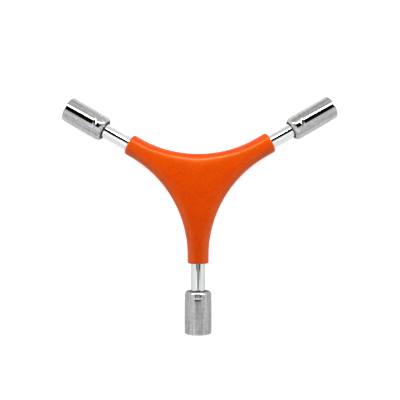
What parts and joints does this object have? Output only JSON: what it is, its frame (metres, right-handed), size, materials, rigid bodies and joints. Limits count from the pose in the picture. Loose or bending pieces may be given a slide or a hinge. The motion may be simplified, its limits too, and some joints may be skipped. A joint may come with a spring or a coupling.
{
  "type": "y wrench",
  "caption": "Three-way socket wrench with a moulded Y handle, round plated bars and hexagon sockets of three sizes for turning small nuts and bolts.",
  "frame": {"origin": "the middle of the handle's flat back face, under the point where the three bars' axes meet", "axes": "+Z out of the handle's front face, -Y along the 10 mm arm, +X to the side of the 8 mm arm"},
  "size_m": [0.1403, 0.1209, 0.0138],
  "materials": {
    "orange_plastic": "moulded, satin to semi-gloss",
    "bar_chrome": "bright chrome plate on ground bar",
    "socket_chrome": "chrome plate with fine turning marks"
  },
  "bodies": {
    "root": {"handle": "orange_plastic", "shank_8mm": "bar_chrome", "shank_9mm": "bar_chrome", "shank_10mm": "bar_chrome", "socket_8mm": "socket_chrome", "socket_9mm": "socket_chrome", "socket_10mm": "socket_chrome"}
  },
  "joints": []
}
